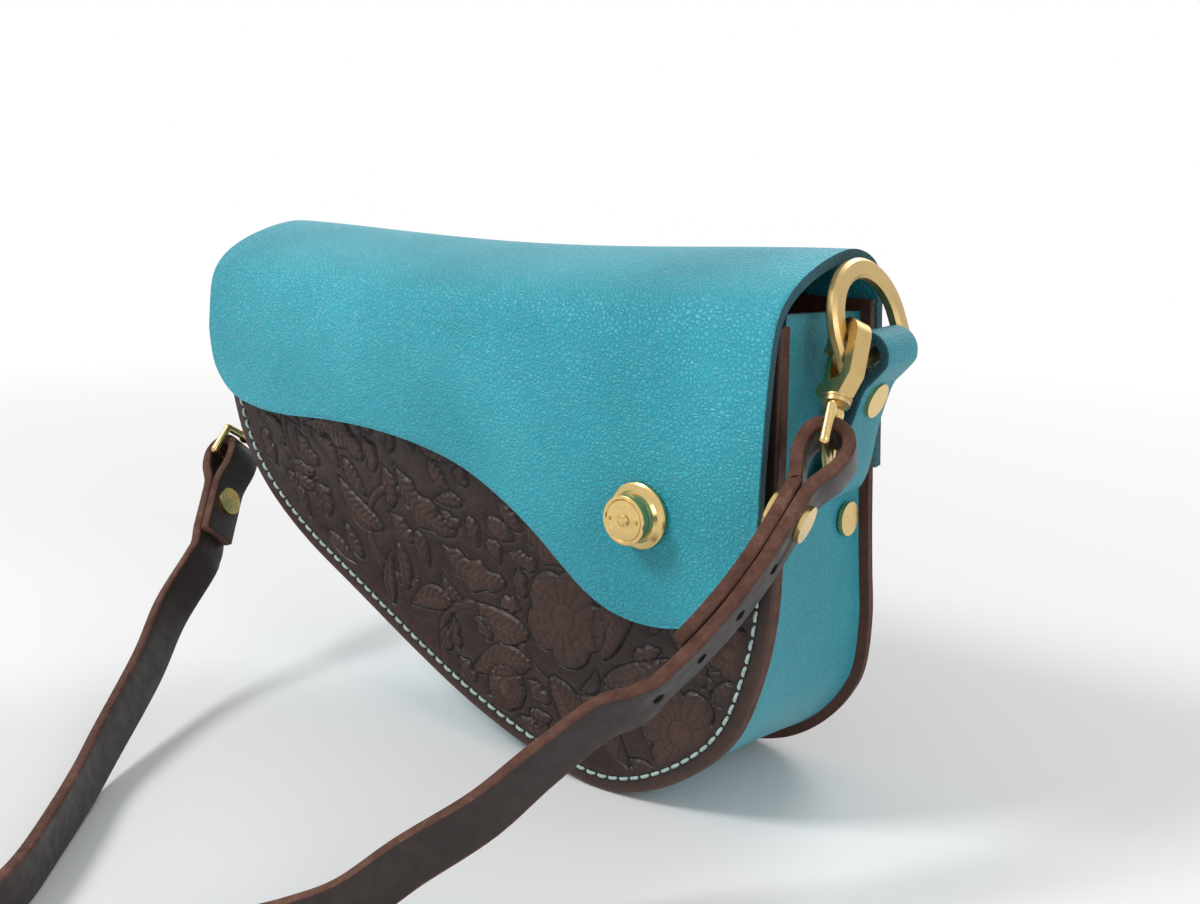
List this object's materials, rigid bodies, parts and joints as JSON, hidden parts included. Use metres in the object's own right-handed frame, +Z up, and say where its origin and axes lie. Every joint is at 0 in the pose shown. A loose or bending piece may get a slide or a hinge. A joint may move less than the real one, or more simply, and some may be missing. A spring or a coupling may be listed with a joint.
{
  "type": "handbag",
  "caption": "Small saddle-shaped leather handbag with a tooled front, a soft roll-over flap on a pull clasp, and a long strap held by trigger snaps to dees in side tabs.",
  "frame": {"origin": "centre of the whole part's box, on the level surface it stands on", "axes": "+X to the right seen from the front, -Y towards the front, +Z up"},
  "size_m": [0.2986, 0.2452, 0.155],
  "materials": {
    "flap_leather": "pebbled full-grain leather, satin",
    "gusset_leather": "pebbled full-grain leather, satin",
    "tab_leather": "pebbled full-grain leather, satin",
    "tooled_leather": "carved and stained tooling leather, satin",
    "back_leather": "smooth stained leather, satin",
    "strap_leather": "waxed bridle leather",
    "brass": "polished brass"
  },
  "bodies": {
    "bag": {"front_panel": "tooled_leather", "back_panel": "back_leather", "gusset": "gusset_leather", "flap_back": "flap_leather", "clasp_stud": "brass", "stud_screw": "brass", "right_tab": "tab_leather", "left_tab": "tab_leather", "right_tab_rivets": "brass", "left_tab_rivets": "brass", "right_eye": "brass", "left_eye": "brass", "strap": "strap_leather", "right_strap_post": "brass", "right_strap_screw": "brass", "left_strap_post": "brass", "left_strap_screw": "brass"},
    "flap": {"flap": "flap_leather", "clasp_base": "brass", "clasp_nut": "brass"},
    "clasp_cap": {"clasp_cap": "brass", "clasp_screw": "brass"},
    "right_dee": {"right_dee": "brass"},
    "right_hook": {"right_hook": "brass", "right_gate_pin": "brass"},
    "right_gate": {"right_gate": "brass"},
    "left_dee": {"left_dee": "brass"},
    "left_hook": {"left_hook": "brass", "left_gate_pin": "brass"},
    "left_gate": {"left_gate": "brass"}
  },
  "joints": [
    {"name": "flap_hinge", "type": "hinge", "parent": "bag", "child": "flap", "pos_m": [0, 0.11563, 0.138], "axis": [-1, 0, 0], "range_deg": [0, 150]},
    {"name": "clasp_pull", "type": "slide", "parent": "flap", "child": "clasp_cap", "axis": [0, -1, 0], "range_m": [0, 0.002], "stiffness_N_per_m": 400, "springref_m": -0.003},
    {"name": "right_dee_swing", "type": "hinge", "parent": "bag", "child": "right_dee", "pos_m": [0.13693, 0.0947, 0.12876], "axis": [0, 0.9925, 0.1219], "range_deg": [0, 1.5]},
    {"name": "right_hook_swivel", "type": "hinge", "parent": "bag", "child": "right_hook", "pos_m": [0.13556, 0.08165, 0.13273], "axis": [-0.1564, 0.5805, 0.7991], "range_deg": [0, 10]},
    {"name": "right_gate_turn", "type": "hinge", "parent": "right_hook", "child": "right_gate", "pos_m": [0.1335, 0.07618, 0.12129], "axis": [0.4938, 0.7466, -0.4458], "range_deg": [0, 6], "stiffness_Nm_per_rad": 0.002, "springref_deg": -28.65},
    {"name": "left_dee_swing", "type": "hinge", "parent": "bag", "child": "left_dee", "pos_m": [-0.10109, 0.0939, 0.11338], "axis": [0, 1, 0], "range_deg": [-1.5, 1.5]},
    {"name": "left_hook_swivel", "type": "hinge", "parent": "bag", "child": "left_hook", "pos_m": [-0.10109, 0.08994, 0.09322], "axis": [0, 0.6691, 0.7431], "range_deg": [-6, 6]},
    {"name": "left_gate_turn", "type": "hinge", "parent": "left_hook", "child": "left_gate", "pos_m": [-0.10569, 0.08191, 0.0843], "axis": [0, 0.7431, -0.6691], "range_deg": [0, 5], "stiffness_Nm_per_rad": 0.002, "springref_deg": -28.65}
  ]
}
